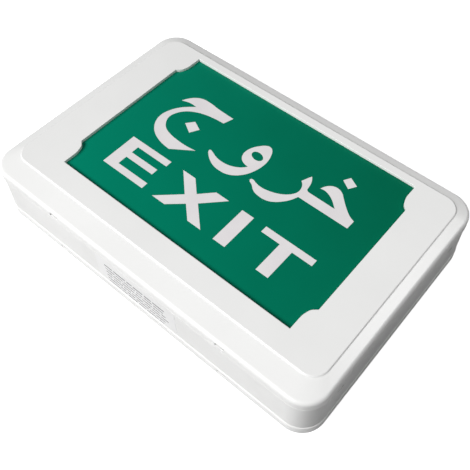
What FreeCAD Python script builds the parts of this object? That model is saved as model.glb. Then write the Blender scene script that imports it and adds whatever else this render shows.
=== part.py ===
import FreeCAD, Part
import Sketcher
import math
import os
import re

# Emergency exit light, lying on its back.
# Origin: centre of the flat back face.  X runs along the sign's reading direction,
# Y is the sign's up and Z points out of the wall.  Millimetres.

doc = FreeCAD.newDocument("emergency_exit_light")

# ---------------------------------------------------------------- driving sizes

SIZES = {
    # housing
    "case_long": 350,
    "case_high": 233,
    "case_deep": 60,
    "case_round": 22,
    "wall_thick": 2.5,
    "rim_level": 8.5,        # joint between back plate and body frame
    "cover_tall": 13,        # front cover, from its joint with the body frame
    "bead_tall": 1.8,
    "bead_proud": 0.6,
    "fit_gap": 0.3,
    "rib_thick": 1.4,
    "rib_apart": 30,
    "pilot_radius": 1.3,
    # front cover
    "shoulder_side": 10.5,
    "shoulder_foot": 20,
    "shoulder_drop": 3,
    "shoulder_round": 3.5,
    "panel_rise": 1,
    "panel_round": 14.5,
    "face_thick": 3,
    "margin_side": 44.7,     # case edge to window
    "margin_top": 18.7,
    "margin_foot": 41.8,
    "ear_deep": 6.9,
    "ear_long": 26,
    "ear_taper": 11,         # length over which a lobe draws back to the window's side
    # snap latches
    "latch_out": 91,
    "latch_wide": 8.5,
    "latch_tall": 2.4,
    "latch_above": 4,        # snap windows above the cover's joint
    "slit_out": 78,
    "slit_long": 7,
    "slit_tall": 1.6,
    "slit_level": 35,
    # back plate
    "plate_wall": 2.7,
    "plate_recess": 12,
    "floor_low": 1.2,
    "floor_thick": 2.5,
    "mount_wide": 240,
    "mount_high": 150,
    "mount_radius": 2.5,
    "entry_radius": 10,
    "entry_out": 30,
    "entry_up": 55,
    "post_radius": 4,
    "post_inset": 20,
    "post_up": 35,
    # legend
    "film_thick": 0.3,
    "opal_thick": 3,
    "opal_lap": 4,
    # reflector and lamp
    "sheet_thick": 0.8,
    "tray_end_gap": 13,
    "tray_flat": 90,
    "tray_margin": 2.75,     # reflector past the window's edge
    "tray_rise": 17,
    "lamp_radius": 7.8,
    "lamp_away": 14.2,       # lamp's axis below the opal panel
    "lamp_drop": 10.5,       # reflector's floor below the lamp's axis
    "lamp_end_gap": 18,
    "cap_long": 10,
    "pin_long": 7,
    "pin_apart": 4.75,
    "pin_radius": 1.15,
    "holder_thick": 13,
    # inverter board
    "board_long": 120,
    "board_wide": 50,
    "board_thick": 1.6,
    "board_gap": 5,
    "part_over": 1.7,        # tallest board part to reflector
    "spacer_tall": 6,
    # battery
    "cell_long": 42.5,
    "cell_under": 1.5,
    "cell_over": 1.4,
    # terminals
    "block_long": 34,
    "block_wide": 20,
    "block_tall": 16,
    # test button and charge lamp, in the left short wall
    "button_radius": 3.6,
    "button_travel": 1.2,
    "button_aside": 60,
    "button_level": 21,
    "signal_radius": 1.5,
    "signal_aside": 76,
}

# Sizes that follow from the driving ones, as formula cells of the same sheet.
FOLLOWING = {
    "seam_level": "case_deep - cover_tall",
    "window_long": "case_long - 2 * margin_side",
    "window_high": "case_high - margin_top - margin_foot",
    "window_lift": "(margin_foot - margin_top) / 2",
    "lamp_long": "case_long - 2 * (holder_thick + lamp_end_gap)",
    "lamp_level": "case_deep - face_thick - film_thick - opal_thick - lamp_away",
    "tray_level": "lamp_level - lamp_drop",
    "tray_long": "case_long - 2 * tray_end_gap",
    "tray_wide": "window_high + 2 * tray_margin",
    "post_out": "case_long / 2 - post_inset",
    "board_out": "post_out - post_radius - board_gap - board_long / 2",
    "part_tall": "tray_level - floor_low - floor_thick - spacer_tall - board_thick - part_over",
    "battery_out": "(case_long / 2 - bead_proud - wall_thick) / 2",
    "cell_radius": "(tray_level - floor_low - floor_thick - cell_under - cell_over) / 2",
}

sheet = doc.addObject("Spreadsheet::Sheet", "Sizes")
cells = list(SIZES.items()) + [(alias, "=" + formula) for alias, formula in FOLLOWING.items()]
for row, (alias, content) in enumerate(cells, start=1):
    sheet.set(f"A{row}", alias)
    sheet.set(f"B{row}", str(content))
    sheet.setAlias(f"B{row}", alias)
doc.recompute()

# Lengths that follow from the driving sizes.  Each is a formula over the sheet.
HALF_LONG = "case_long / 2"
HALF_HIGH = "case_high / 2"
PANEL_TOP = "(case_high / 2 - shoulder_side)"
PANEL_FOOT = "(case_high / 2 - shoulder_foot)"
SHOULDER_LOW = "(case_deep - panel_rise - shoulder_drop)"
FACE_BACK = "(case_deep - face_thick)"
FLOOR_TOP = "(floor_low + floor_thick)"
LAMP_UP = "window_lift"
BOARD_LOW = f"({FLOOR_TOP} + spacer_tall)"
BOARD_TOP = f"({FLOOR_TOP} + spacer_tall + board_thick)"
CELL_LEVEL = f"({FLOOR_TOP} + cell_under + cell_radius)"
WALL_INNER = "(case_long / 2 - bead_proud - wall_thick)"
SHOULDER_INNER = f"({SHOULDER_LOW} - wall_thick)"
LATCH_TOP = "(seam_level + latch_above + latch_tall)"
GROMMET_HOLE = 4
BUTTON_STEM = 1.5
BUTTON_FLANGE = 1
SWITCH_AWAY = 8

ALIAS = re.compile(r"[a-z]+(?:_[a-z]+)+")
NODES = {}


# ---------------------------------------------------------------- small helpers

def sheet_formula(formula):
    """Write a formula's aliases the way an expression names them."""
    return ALIAS.sub(lambda found: "Sizes." + found.group(0), formula)


def value(formula):
    """What a formula gives at the present sizes."""
    return float(sheet.evalExpression(sheet_formula(formula)))


def bind(item, place, formula):
    item.setExpression(place, sheet_formula(str(formula)))


def node(item, label):
    """Name a finished piece; the label is its file's name."""
    item.Label = label
    NODES[label] = item
    return item


def put(item, x, y, z):
    for axis, formula in zip("xyz", (x, y, z)):
        bind(item, "Placement.Base." + axis, formula)


def block(name, spans, low):
    """A box: three spans, and the place of its low corner."""
    item = doc.addObject("Part::Box", name)
    for place, formula in zip(("Length", "Width", "Height"), spans):
        bind(item, place, formula)
    put(item, *low)
    return item


TURNS = {
    "z": FreeCAD.Rotation(),
    "x": FreeCAD.Rotation(FreeCAD.Vector(0, 1, 0), 90),
    "y": FreeCAD.Rotation(FreeCAD.Vector(1, 0, 0), -90),
}


def rod(name, radius, span, start, axis="z"):
    """A cylinder that runs from its start along an axis."""
    item = doc.addObject("Part::Cylinder", name)
    bind(item, "Radius", radius)
    bind(item, "Height", span)
    item.Placement = FreeCAD.Placement(FreeCAD.Vector(), TURNS[axis])
    put(item, *start)
    return item


def cut(name, whole, *tools):
    item = doc.addObject("Part::Cut", name)
    item.Base = whole
    item.Tool = tools[0] if len(tools) == 1 else fuse(name + "_tools", *tools)
    return item


def fuse(name, *pieces):
    item = doc.addObject("Part::MultiFuse", name)
    item.Shapes = list(pieces)
    return item


def group(name, *pieces):
    """Separate solids kept under one name, such as a set of screws."""
    item = doc.addObject("Part::Compound", name)
    item.Links = list(pieces)
    return item


def moulding(name):
    return node(doc.addObject("PartDesign::Body", name), name)


def sketch_on(body, name, level="0", centre=("0", "0"), role="XY_Plane"):
    """An empty sketch on one of the body's own planes, raised to a level."""
    plane = next(item for item in body.Origin.OriginFeatures if item.Role == role)
    sketch = body.newObject("Sketcher::SketchObject", name)
    sketch.AttachmentSupport = [(plane, "")]
    sketch.MapMode = "FlatFace"
    bind(sketch, "AttachmentOffset.Base.x", centre[0])
    bind(sketch, "AttachmentOffset.Base.y", centre[1])
    bind(sketch, "AttachmentOffset.Base.z", level)
    return sketch


def limit(sketch, kind, formula, *ends):
    """A driven dimension of a sketch, bound to a formula."""
    index = sketch.addConstraint(Sketcher.Constraint(kind, *ends, value(formula)))
    bind(sketch, f"Constraints[{index}]", formula)


def rectangle(sketch, half_x, half_y):
    """A rectangle about the sketch's origin."""
    x, y = value(half_x), value(half_y)
    corners = [FreeCAD.Vector(*c) for c in ((-x, -y, 0), (x, -y, 0), (x, y, 0), (-x, y, 0))]
    first = sketch.GeometryCount
    for index in range(4):
        sketch.addGeometry(Part.LineSegment(corners[index], corners[(index + 1) % 4]), False)
    for index in range(4):
        joint = Sketcher.Constraint("Coincident", first + index, 2, first + (index + 1) % 4, 1)
        sketch.addConstraint(joint)
    for side, kind in enumerate(("Horizontal", "Vertical", "Horizontal", "Vertical")):
        sketch.addConstraint(Sketcher.Constraint(kind, first + side))
    limit(sketch, "DistanceX", half_x, -1, 1, first + 1, 1)
    limit(sketch, "DistanceX", half_x, first + 3, 1, -1, 1)
    limit(sketch, "DistanceY", half_y, -1, 1, first + 2, 1)
    limit(sketch, "DistanceY", half_y, first, 1, -1, 1)


def rounded(sketch, half_x, half_y, radius):
    """A rectangle with round corners about the sketch's origin."""
    x, y, r = value(half_x), value(half_y), value(radius)
    first = sketch.GeometryCount
    sides = (((r - x, -y), (x - r, -y)), ((x, r - y), (x, y - r)),
             ((x - r, y), (r - x, y)), ((-x, y - r), (-x, r - y)))
    middles = ((x - r, r - y), (x - r, y - r), (r - x, y - r), (r - x, r - y))
    for index in range(4):
        start, end = (FreeCAD.Vector(*point, 0) for point in sides[index])
        sketch.addGeometry(Part.LineSegment(start, end), False)
        ring = Part.Circle(FreeCAD.Vector(*middles[index], 0), FreeCAD.Vector(0, 0, 1), r)
        turn = math.radians(90 * index - 90)
        sketch.addGeometry(Part.ArcOfCircle(ring, turn, turn + math.pi / 2), False)
    for index in range(8):
        joint = Sketcher.Constraint("Tangent", first + index, 2, first + (index + 1) % 8, 1)
        sketch.addConstraint(joint)
    for side, kind in ((0, "Horizontal"), (2, "Vertical"), (4, "Horizontal"), (6, "Vertical")):
        sketch.addConstraint(Sketcher.Constraint(kind, first + side))
    for arc in (3, 5, 7):
        sketch.addConstraint(Sketcher.Constraint("Equal", first + 1, first + arc))
    limit(sketch, "Radius", radius, first + 1)
    limit(sketch, "DistanceX", half_x, -1, 1, first + 2, 1)
    limit(sketch, "DistanceX", half_x, first + 6, 1, -1, 1)
    limit(sketch, "DistanceY", half_y, -1, 1, first + 4, 1)
    limit(sketch, "DistanceY", half_y, first, 1, -1, 1)


def circle(sketch, radius, x="0", y="0"):
    centre = FreeCAD.Vector(value(x), value(y), 0)
    ring = sketch.addGeometry(Part.Circle(centre, FreeCAD.Vector(0, 0, 1), value(radius)), False)
    limit(sketch, "Radius", radius, ring)
    for kind, formula in (("DistanceX", x), ("DistanceY", y)):
        if value(formula) >= 0:
            limit(sketch, kind, formula, -1, 1, ring, 3)
        else:
            limit(sketch, kind, f"-({formula})", ring, 3, -1, 1)


def polygon(sketch, points):
    """A closed outline whose corners are pairs of formulas from the sketch's origin."""
    places = [FreeCAD.Vector(value(x), value(y), 0) for x, y in points]
    first = sketch.GeometryCount
    count = len(points)
    for index in range(count):
        sketch.addGeometry(Part.LineSegment(places[index], places[(index + 1) % count]), False)
    for index in range(count):
        joint = Sketcher.Constraint("Coincident", first + index, 2, first + (index + 1) % count, 1)
        sketch.addConstraint(joint)
    for index, pair in enumerate(points):
        for kind, formula in zip(("DistanceX", "DistanceY"), pair):
            if value(formula) >= 0:
                limit(sketch, kind, formula, -1, 1, first + index, 1)
            else:
                limit(sketch, kind, f"-({formula})", first + index, 1, -1, 1)


def pad(body, sketch, span, backward=False, both_ways=False):
    feature = body.newObject("PartDesign::Pad", sketch.Name + "_pad")
    feature.Profile = sketch
    bind(feature, "Length", span)
    feature.Reversed = backward
    feature.Midplane = both_ways
    return feature


def pocket(body, sketch, depth, upward=False, both_ways=False):
    """Cut down from the sketch's level, or up from it; it has to take something away."""
    doc.recompute()
    before = body.Shape.Volume
    feature = body.newObject("PartDesign::Pocket", sketch.Name + "_pocket")
    feature.Profile = sketch
    bind(feature, "Length", depth)
    feature.Reversed = upward
    feature.Midplane = both_ways
    doc.recompute()
    if body.Shape.Volume > before - 0.01:
        raise RuntimeError(sketch.Name + " cuts nothing")
    return feature


def row_along_x(body, feature, name, count, span):
    """A feature repeated in a row along X, made the body's tip."""
    item = body.newObject("PartDesign::LinearPattern", name)
    item.Originals = [feature]
    axis = next(part for part in body.Origin.OriginFeatures if part.Role == "X_Axis")
    item.Direction = (axis, [""])
    item.Occurrences = count
    bind(item, "Length", span)
    body.Tip = item


def edges_where(feature, test):
    """Names of a feature's edges that pass a test."""
    doc.recompute()
    return [f"Edge{index}" for index, edge in enumerate(feature.Shape.Edges, start=1) if test(edge)]


def ease(body, feature, name, kind, size, test):
    """A chamfer or fillet along the edges that pass a test."""
    names = edges_where(feature, test)
    if not names:
        raise RuntimeError(name + " finds no edge")
    item = body.newObject("PartDesign::" + kind, name)
    item.Base = (feature, names)
    bind(item, "Size" if kind == "Chamfer" else "Radius", size)
    return item


def at_level(edge, level):
    box = edge.BoundBox
    return abs(box.ZMin - level) < 0.001 and abs(box.ZMax - level) < 0.001


def patch(sketch, x, y, half_x, half_y):
    """A rectangle whose middle lies away from the sketch's origin."""
    corners = [(f"{x} {sx} ({half_x})", f"{y} {sy} ({half_y})") for sx, sy in ("--", "+-", "++", "-+")]
    polygon(sketch, corners)


def ring(sketch, outer, inner):
    """Two outlines of the case, each set in from the outermost by a distance."""
    for inset in (outer, inner):
        rounded(sketch, f"{HALF_LONG} - {inset}", f"{HALF_HIGH} - {inset}", f"case_round - {inset}")


BOTH_SIDES = ("", "-")
CORNERS = (("", ""), ("-", ""), ("-", "-"), ("", "-"))


# ---------------------------------------------------------------- front cover

def shoulder(body, name, kind, inset, low, high):
    """The cover's shoulder: a slope lofted around four unequal sides.

    Its foot, along the sign's lower side, spreads nearly twice as wide as the other three.
    """
    outer = sketch_on(body, name + "_outer", low)
    rounded(outer, f"{HALF_LONG} - {inset}", f"{HALF_HIGH} - {inset}", f"case_round - {inset}")
    inner = sketch_on(body, name + "_inner", high, ("0", f"({PANEL_TOP} - {PANEL_FOOT}) / 2"))
    rounded(inner, f"{HALF_LONG} - shoulder_side - {inset}",
            f"({PANEL_TOP} + {PANEL_FOOT}) / 2 - {inset}", f"panel_round - {inset}")
    loft = body.newObject("PartDesign::" + kind, name)
    loft.Profile = outer
    loft.Sections = [inner]
    return loft


def window_outline(sketch):
    """The sign's window: a lobe of the cover stands into each of its four corners.

    Each lobe draws back to the window's side in two slanting steps, gentle and then steep.
    """
    across, up = "(window_long / 2)", "(window_high / 2)"
    near, low = f"({across} - ear_deep)", f"({up} - ear_long)"
    quarter = ((near, up), (near, f"({low} + ear_taper)"),
               (f"({near} + ear_deep * 0.35)", f"({low} + ear_taper * 0.35)"), (across, low))
    points = [("-" + x, "-" + y) for x, y in reversed(quarter)]
    points += [(x, "-" + y) for x, y in quarter]
    points += [(x, y) for x, y in reversed(quarter)]
    points += [("-" + x, y) for x, y in quarter]
    polygon(sketch, points)


def lobe_edges(x, y):
    """Test for the four upright edges of the window that mirror one at a place."""
    place = value(x), value(y)

    def test(edge):
        box = edge.BoundBox
        return (abs(abs(box.XMin) - place[0]) < 0.001
                and abs(abs(box.YMin - value("window_lift")) - place[1]) < 0.001
                and box.XLength + box.YLength < 0.001)
    return test


def latch_patches(sketch, near, far, half_wide):
    """One patch at each snap latch, between two depths in from the long walls."""
    for sx, sy in CORNERS:
        patch(sketch, f"{sx}latch_out", f"{sy}({HALF_HIGH} - ({near} + {far}) / 2)",
              half_wide, f"({far} - {near}) / 2")


def make_front_cover():
    cover = moulding("front_cover")
    skirt = sketch_on(cover, "skirt", "seam_level")
    rounded(skirt, HALF_LONG, HALF_HIGH, "case_round")
    skirt_pad = pad(cover, skirt, f"{SHOULDER_LOW} - seam_level")
    ease(cover, skirt_pad, "seam_edge", "Chamfer", "bead_proud / 2",
         lambda edge: at_level(edge, value("seam_level")))
    slope = shoulder(cover, "outer_shoulder", "AdditiveLoft", "0", SHOULDER_LOW, "case_deep - panel_rise")
    ease(cover, slope, "shoulder_edge", "Fillet", "shoulder_round",
         lambda edge: at_level(edge, value(SHOULDER_LOW)))

    panel = sketch_on(cover, "panel", "case_deep - panel_rise",
                      ("0", f"({PANEL_TOP} - {PANEL_FOOT}) / 2"))
    rounded(panel, f"{HALF_LONG} - shoulder_side", f"({PANEL_TOP} + {PANEL_FOOT}) / 2", "panel_round")
    panel_pad = pad(cover, panel, "panel_rise")
    ease(cover, panel_pad, "panel_edge", "Chamfer", "panel_rise * 0.9",
         lambda edge: at_level(edge, value("case_deep")))

    hollow = sketch_on(cover, "hollow", "seam_level")
    rounded(hollow, f"{HALF_LONG} - wall_thick", f"{HALF_HIGH} - wall_thick", "case_round - wall_thick")
    pocket(cover, hollow, f"{SHOULDER_INNER} - seam_level", upward=True)
    shoulder(cover, "inner_shoulder", "SubtractiveLoft", "wall_thick", SHOULDER_INNER, FACE_BACK)

    window = sketch_on(cover, "window", "case_deep", ("0", "window_lift"))
    window_outline(window)
    window_cut = pocket(cover, window, "face_thick + 1")
    near, low = "window_long / 2 - ear_deep", "window_high / 2 - ear_long"
    lobes = ease(cover, window_cut, "lobe_bends", "Fillet", "ear_taper * 1.8",
                 lobe_edges(near, f"{low} + ear_taper"))
    ease(cover, lobes, "lobe_ends", "Fillet", "ear_taper * 0.7",
         lobe_edges(f"{near} + ear_deep * 0.35", f"{low} + ear_taper * 0.35"))

    frame = sketch_on(cover, "glazing_rim", FACE_BACK, ("0", "window_lift"))
    for reach in ("fit_gap", "fit_gap + 1.6"):
        rectangle(frame, f"window_long / 2 + opal_lap + {reach}",
                  f"window_high / 2 + opal_lap + {reach}")
    pad(cover, frame, "film_thick + opal_thick + 1.2", backward=True)

    lugs = sketch_on(cover, "glazing_lugs", f"{FACE_BACK} - film_thick - opal_thick",
                     ("0", "window_lift"))
    for sx, sy in CORNERS:
        patch(lugs, f"{sx}window_long / 4", f"{sy}(window_high / 2 + opal_lap)", "6", "1.2")
    pad(cover, lugs, "1.2", backward=True)

    latches = sketch_on(cover, "latch_windows", f"{LATCH_TOP} + fit_gap")
    latch_patches(latches, "-1", "wall_thick + 5", "latch_wide / 2")
    pocket(cover, latches, "latch_tall + 2 * fit_gap")


# ---------------------------------------------------------------- body frame

def make_body_frame():
    frame = moulding("body_frame")
    # the wall's section, with a bead at its foot and another at its top, run around the case
    section = sketch_on(frame, "wall_section", role="XZ_Plane")
    skin, slope = f"({HALF_LONG} - bead_proud)", "bead_proud * 0.7"
    side = [(f"{HALF_LONG} - {slope}", "rim_level"), (HALF_LONG, f"rim_level + {slope}"),
            (HALF_LONG, f"rim_level + bead_tall - {slope}"), (skin, "rim_level + bead_tall"),
            (skin, "seam_level - bead_tall"), (HALF_LONG, f"seam_level - bead_tall + {slope}"),
            (HALF_LONG, f"seam_level - {slope}"), (f"{HALF_LONG} - {slope}", "seam_level")]
    polygon(section, [(WALL_INNER, "rim_level"), *side, (WALL_INNER, "seam_level")])
    path = sketch_on(frame, "wall_path", "rim_level")
    rounded(path, HALF_LONG, HALF_HIGH, "case_round")
    wall = frame.newObject("PartDesign::AdditivePipe", "wall")
    wall.Profile = section
    wall.Spine = (path, [f"Edge{index}" for index in range(1, 9)])

    lip = sketch_on(frame, "cover_lip", "seam_level - 6")
    ring(lip, "(wall_thick + fit_gap)", "(wall_thick + fit_gap + 2)")
    pad(frame, lip, "8.5")

    # snap hooks: upward ones hold the cover, downward ones the back plate
    stems = sketch_on(frame, "cover_hooks", "seam_level - 6")
    latch_patches(stems, "wall_thick + 2", "wall_thick + 3.8", "latch_wide / 2 - 1")
    pad(frame, stems, f"{LATCH_TOP} - seam_level + 6")
    nibs = sketch_on(frame, "cover_hook_nibs", LATCH_TOP)
    latch_patches(nibs, "0.4", "wall_thick + 2", "latch_wide / 2 - 1")
    pad(frame, nibs, "latch_tall", backward=True)
    stems = sketch_on(frame, "plate_hooks", f"{FLOOR_TOP} + fit_gap")
    latch_patches(stems, "plate_wall + 0.2", "plate_wall + 2", "latch_wide / 2 - 1")
    pad(frame, stems, "rim_level")
    nibs = sketch_on(frame, "plate_hook_nibs", f"{FLOOR_TOP} + fit_gap")
    latch_patches(nibs, "0.4", "plate_wall + 0.3", "latch_wide / 2 - 1")
    pad(frame, nibs, "latch_tall - 2 * fit_gap")

    # stiffening ribs up the inside of both long walls
    rib_end = f"({HALF_LONG} - case_round - 3)"
    for name, side in (("top_rib", ""), ("foot_rib", "-")):
        rib = sketch_on(frame, name, "rim_level + 5")
        patch(rib, f"-{rib_end}", f"{side}({HALF_HIGH} - wall_thick - 1.4)", "rib_thick / 2", "1.1")
        rib_pad = pad(frame, rib, "seam_level - rim_level - 12")
        gaps = round(value(f"2 * {rib_end} / rib_apart"))
        row_along_x(frame, rib_pad, name + "_row", gaps + 1, f"2 * {rib_end}")

    slits = sketch_on(frame, "slits", "slit_level + slit_tall / 2")
    for sx, sy in CORNERS:
        patch(slits, f"{sx}{HALF_LONG}", f"{sy}slit_out", "(wall_thick + 2)", "slit_long / 2")
    pocket(frame, slits, "slit_tall")

    shelf = sketch_on(frame, "switch_shelf", "button_level - 7.5")
    patch(shelf, f"-({WALL_INNER} - 9)", "-button_aside", "10", "8")
    pad(frame, shelf, "2")

    holes = sketch_on(frame, "button_and_lamp_holes", f"-({HALF_LONG} + 1)", role="YZ_Plane")
    circle(holes, "button_radius + 0.4", "-button_aside", "button_level")
    circle(holes, "signal_radius + 0.05", "-signal_aside", "button_level")
    pocket(frame, holes, "wall_thick + 3", upward=True)


# ---------------------------------------------------------------- back plate

def make_back_plate():
    plate = moulding("back_plate")
    base = sketch_on(plate, "base")
    rounded(base, HALF_LONG, HALF_HIGH, "case_round")
    base_pad = pad(plate, base, "rim_level")
    ease(plate, base_pad, "base_edges", "Chamfer", "bead_proud",
         lambda edge: at_level(edge, 0) or at_level(edge, value("rim_level")))

    tray = sketch_on(plate, "tray", "rim_level")
    rounded(tray, f"{HALF_LONG} - plate_wall", f"{HALF_HIGH} - plate_wall", "case_round - plate_wall")
    pocket(plate, tray, f"rim_level - {FLOOR_TOP}")

    lip = sketch_on(plate, "frame_lip", FLOOR_TOP)
    ring(lip, "(wall_thick + bead_proud + fit_gap)", "(wall_thick + bead_proud + fit_gap + 1.8)")
    pad(plate, lip, f"rim_level + 3 - {FLOOR_TOP}")
    notches = sketch_on(plate, "lip_notches", "rim_level + 3")
    latch_patches(notches, "plate_wall", "plate_wall + 4", "latch_wide / 2 + 0.5")
    pocket(plate, notches, f"rim_level + 3 - {FLOOR_TOP}")

    posts = sketch_on(plate, "reflector_posts", FLOOR_TOP)
    for x, y in post_places():
        circle(posts, "post_radius", x, y)
    pad(plate, posts, f"tray_level - {FLOOR_TOP}")
    pilots = sketch_on(plate, "post_pilots", "tray_level")
    for x, y in post_places():
        circle(pilots, "pilot_radius", x, y)
    pocket(plate, pilots, "10")

    rings = sketch_on(plate, "mount_rings", FLOOR_TOP)
    for x, y in mount_places():
        circle(rings, "mount_radius + 3.5", x, y)
    pad(plate, rings, "2")
    mounts = sketch_on(plate, "mount_holes", f"{FLOOR_TOP} + 2")
    for x, y in mount_places():
        circle(mounts, "mount_radius", x, y)
    pocket(plate, mounts, f"{FLOOR_TOP} + 2")

    # shallow recesses in the back leave a flat rim, cross ribs and pads at the mounting holes
    recess = sketch_on(plate, "back_recess")
    wide = f"(({HALF_LONG} - plate_recess) * 2 - 12) / 3"
    high = f"(({HALF_HIGH} - plate_recess) - 3)"
    for column in ("-1", "0", "1"):
        for row in BOTH_SIDES:
            patch(recess, f"{column} * ({wide} + 6)", f"{row}({high} / 2 + 3)",
                  f"{wide} / 2", f"{high} / 2")
    for x, y in mount_places():
        circle(recess, "mount_radius + 6", x, y)
    pocket(plate, recess, "floor_low", upward=True)

    openings = sketch_on(plate, "cable_entry", FLOOR_TOP)
    circle(openings, "entry_radius", "entry_out", "entry_up")
    pocket(plate, openings, FLOOR_TOP)
    pilots = sketch_on(plate, "holder_pilots", FLOOR_TOP)
    for end in BOTH_SIDES:
        circle(pilots, "pilot_radius", f"battery_out {end or '+'} {TAB_OUT}", "0")
    pocket(plate, pilots, "floor_thick - 0.5")

    latches = sketch_on(plate, "latch_windows", f"{FLOOR_TOP} + latch_tall")
    latch_patches(latches, "-1", "plate_wall + 0.1", "latch_wide / 2")
    pocket(plate, latches, "latch_tall")


def post_places():
    return [(f"{sx}post_out", f"{LAMP_UP} {sy} post_up") for sx in BOTH_SIDES for sy in "+-"]


def mount_places():
    return [(f"{sx}mount_wide / 2", f"{sy}mount_high / 2") for sx, sy in CORNERS]


# ---------------------------------------------------------------- legend

def make_legend():
    half = ("window_long / 2 + opal_lap", "window_high / 2 + opal_lap")
    for label, thick, top in (("legend_film", "film_thick", FACE_BACK),
                              ("legend_panel", "opal_thick", f"{FACE_BACK} - film_thick")):
        sheet_piece = block(label, (f"2 * ({half[0]})", f"2 * ({half[1]})", thick),
                            (f"-({half[0]})", f"window_lift - ({half[1]})", f"{top} - {thick}"))
        node(sheet_piece, label)


# ---------------------------------------------------------------- reflector

def make_reflector():
    tray = moulding("reflector")
    # folded section, drawn across the sign and run along it
    section = sketch_on(tray, "section", centre=(LAMP_UP, "tray_level"), role="YZ_Plane")
    lower = (("tray_flat / 2", "0"), ("tray_wide / 2", "tray_rise"), ("tray_wide / 2 + 5", "tray_rise"))
    upper = [(x, f"{z} + sheet_thick") for x, z in lower]
    outline = [("-(" + x + ")", z) for x, z in reversed(lower)] + list(lower)
    outline += list(reversed(upper)) + [("-(" + x + ")", z) for x, z in upper]
    polygon(section, outline)
    pad(tray, section, "tray_long", both_ways=True)

    holes = sketch_on(tray, "screw_holes", "tray_level + sheet_thick")
    for x, y in post_places():
        circle(holes, "1.6", x, y)
    for side in BOTH_SIDES:
        patch(holes, f"{side}(lamp_long / 2 - 14)", f"{LAMP_UP} - tray_flat / 4", "2.5", "6")
    pocket(tray, holes, "2 * sheet_thick")


# ---------------------------------------------------------------- lamp

def make_lamp():
    tip, inset = "lamp_long / 2", "2"
    glass = rod("lamp_glass", "lamp_radius", f"lamp_long - 2 * {inset}",
                (f"-({tip} - {inset})", LAMP_UP, "lamp_level"), "x")
    node(glass, "lamp_glass")
    pins = []
    for side, start in (("left", f"-({tip})"), ("right", f"{tip} - cap_long")):
        shell = rod(f"cap_shell_{side}", "lamp_radius + 0.4", "cap_long",
                    (start, LAMP_UP, "lamp_level"), "x")
        bore_start = f"{start} + {inset}" if side == "left" else start
        bore = rod(f"cap_bore_{side}", "lamp_radius + 0.05", f"cap_long - {inset}",
                   (bore_start, LAMP_UP, "lamp_level"), "x")
        node(cut(f"cap_{side}", shell, bore), f"lamp_cap_{side}")
        pin_start = f"-({tip}) - pin_long" if side == "left" else tip
        for index, sign in enumerate("+-"):
            pins.append(rod(f"pin_{side}_{index}", "pin_radius", "pin_long",
                            (pin_start, f"{LAMP_UP} {sign} pin_apart / 2", "lamp_level"), "x"))
    node(group("pins", *pins), "lamp_pins")


def make_lamp_holder(side, sign):
    """A bi-pin lamp holder: a rounded upright with a round well and an open slot above it."""
    holder = moulding(f"lamp_holder_{side}")
    middle = f"{sign}(lamp_long / 2 + holder_thick / 2)"
    foot = sketch_on(holder, f"foot_{side}", "tray_level + sheet_thick", (middle, LAMP_UP))
    rounded(foot, "holder_thick / 2", "12", "2")
    pad(holder, foot, "4")
    upright = sketch_on(holder, f"upright_{side}", "tray_level + sheet_thick", (middle, LAMP_UP))
    rounded(upright, "holder_thick / 2", "9", "2")
    pad(holder, upright, "lamp_level + 9 - tray_level - sheet_thick")
    well = sketch_on(holder, f"well_{side}", f"{sign}lamp_long / 2", (LAMP_UP, "lamp_level"), "YZ_Plane")
    circle(well, "pin_apart / 2 + pin_radius + 0.9")
    pocket(holder, well, "pin_long + 0.5", upward=not sign)
    slot = sketch_on(holder, f"slot_{side}", f"{sign}lamp_long / 2", (LAMP_UP, "lamp_level"), "YZ_Plane")
    patch(slot, "0", "6", "pin_radius + 0.3", "6")
    pocket(holder, slot, "pin_long + 0.5", upward=not sign)


# ---------------------------------------------------------------- screws

def screw(name, x, y, seat, head_radius, shank_radius, shank_long):
    """A slotted pan-head screw whose head sits on a level."""
    head_tall, slot_wide, slot_deep = 1.9, 0.8, 0.9
    head = rod(name + "_head", head_radius, head_tall, (x, y, seat))
    shank = rod(name + "_shank", shank_radius, shank_long, (x, y, f"{seat} - {shank_long}"))
    slot = block(name + "_slot", (2 * head_radius + 1, slot_wide, slot_deep + 1),
                 (f"{x} - {head_radius + 0.5}", f"{y} - {slot_wide / 2}",
                  f"{seat} + {head_tall - slot_deep}"))
    return cut(name, fuse(name + "_blank", head, shank), slot)


def make_reflector_screws():
    screws = [screw(f"reflector_screw_{index}", x, y, "tray_level + sheet_thick", 3.0, 1.25, 9)
              for index, (x, y) in enumerate(post_places())]
    node(group("tray_screws", *screws), "reflector_screws")


# ---------------------------------------------------------------- inverter board

def on_board(x, y):
    """A place given from the board's middle."""
    return f"-board_out + {x}", f"{y}"


def board_part(name, spans, x, y):
    """A box standing on the board about a place given from the board's middle."""
    px, py = on_board(x, y)
    return block(name, spans, (f"{px} - {spans[0] / 2}", f"{py} - {spans[1] / 2}", BOARD_TOP))


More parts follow.
